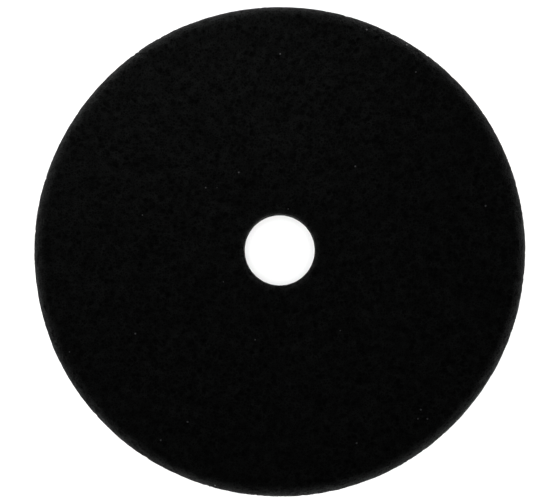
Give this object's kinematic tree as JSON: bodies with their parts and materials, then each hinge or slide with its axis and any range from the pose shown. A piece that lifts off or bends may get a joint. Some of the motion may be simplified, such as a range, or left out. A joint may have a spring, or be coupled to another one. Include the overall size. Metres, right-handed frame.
{
  "type": "polishing pad",
  "caption": "Round black foam polishing pad with a centre hole, a rounded face edge, a flank that tapers to its foot, and a loop-fabric backing.",
  "frame": {"origin": "centre of the loop face, on the spin axis, where the pad sits on a polisher's backing plate", "axes": "+Z along the spin axis from the loop face to the working face; X and Y lie in the loop face, and the pad is round, so either may point anywhere"},
  "size_m": [0.178, 0.178, 0.0278],
  "materials": {
    "foam": "matte",
    "bond": "satin",
    "loop": "matte"
  },
  "bodies": {
    "root": {"foam_pad": "foam", "adhesive_film": "bond", "loop_backing": "loop"}
  },
  "joints": []
}
